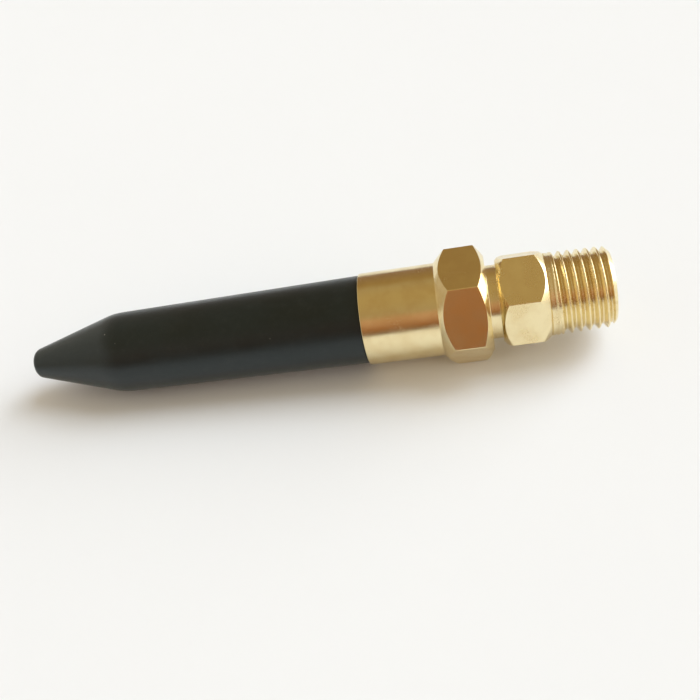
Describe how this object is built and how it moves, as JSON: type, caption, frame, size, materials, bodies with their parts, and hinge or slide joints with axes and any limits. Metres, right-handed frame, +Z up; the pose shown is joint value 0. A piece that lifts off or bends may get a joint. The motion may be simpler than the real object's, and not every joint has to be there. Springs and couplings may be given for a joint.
{
  "type": "tilt valve filling nozzle",
  "caption": "Brass filling nozzle with a male pipe thread, two hexagons and a thin sleeve that holds a black rubber barrel; bending the rubber tilts a sprung poppet open.",
  "frame": {"origin": "on the nozzle's axis, where the threaded shank meets the small hexagon", "axes": "+X out of the inlet thread and -X out of the rubber tip; +Z up, with one flat of the large hexagon facing down"},
  "size_m": [0.0993, 0.0196, 0.017],
  "materials": {
    "adapter_brass": "turned and milled brass, light scratches",
    "body_brass": "polished turned brass sleeve, milled flats",
    "inner_brass": "turned brass",
    "nose_rubber": "matte moulded rubber",
    "seal_rubber": "smooth seal rubber",
    "fibre": "pressed fibre gasket",
    "steel": "turned stainless steel",
    "spring_steel": "drawn stainless wire"
  },
  "bodies": {
    "housing": {"inlet_adapter": "adapter_brass", "body_gasket": "fibre", "valve_body": "body_brass", "support_ferrule": "inner_brass", "return_spring": "spring_steel"},
    "nose": {"rubber_nozzle": "nose_rubber"},
    "poppet": {"valve_stem": "steel", "seat_washer": "seal_rubber", "poppet_disc": "inner_brass", "stem_nut": "steel"}
  },
  "joints": [
    {"name": "nose_tilt", "type": "hinge", "parent": "housing", "child": "nose", "pos_m": [-0.0335, 0, 0], "axis": [0, 1, 0], "range_deg": [0, 16], "stiffness_Nm_per_rad": 0.6, "deforming": ["rubber_nozzle"]},
    {"name": "poppet_tilt", "type": "hinge", "parent": "housing", "child": "poppet", "pos_m": [-0.0155, 0, -0.004], "axis": [0, 1, 0], "range_deg": [0, 8], "stiffness_Nm_per_rad": 0.05, "deforming": ["return_spring"]}
  ],
  "couplings": [
    {"joint": "poppet_tilt", "follows": "nose_tilt", "ratio": 0.5}
  ]
}
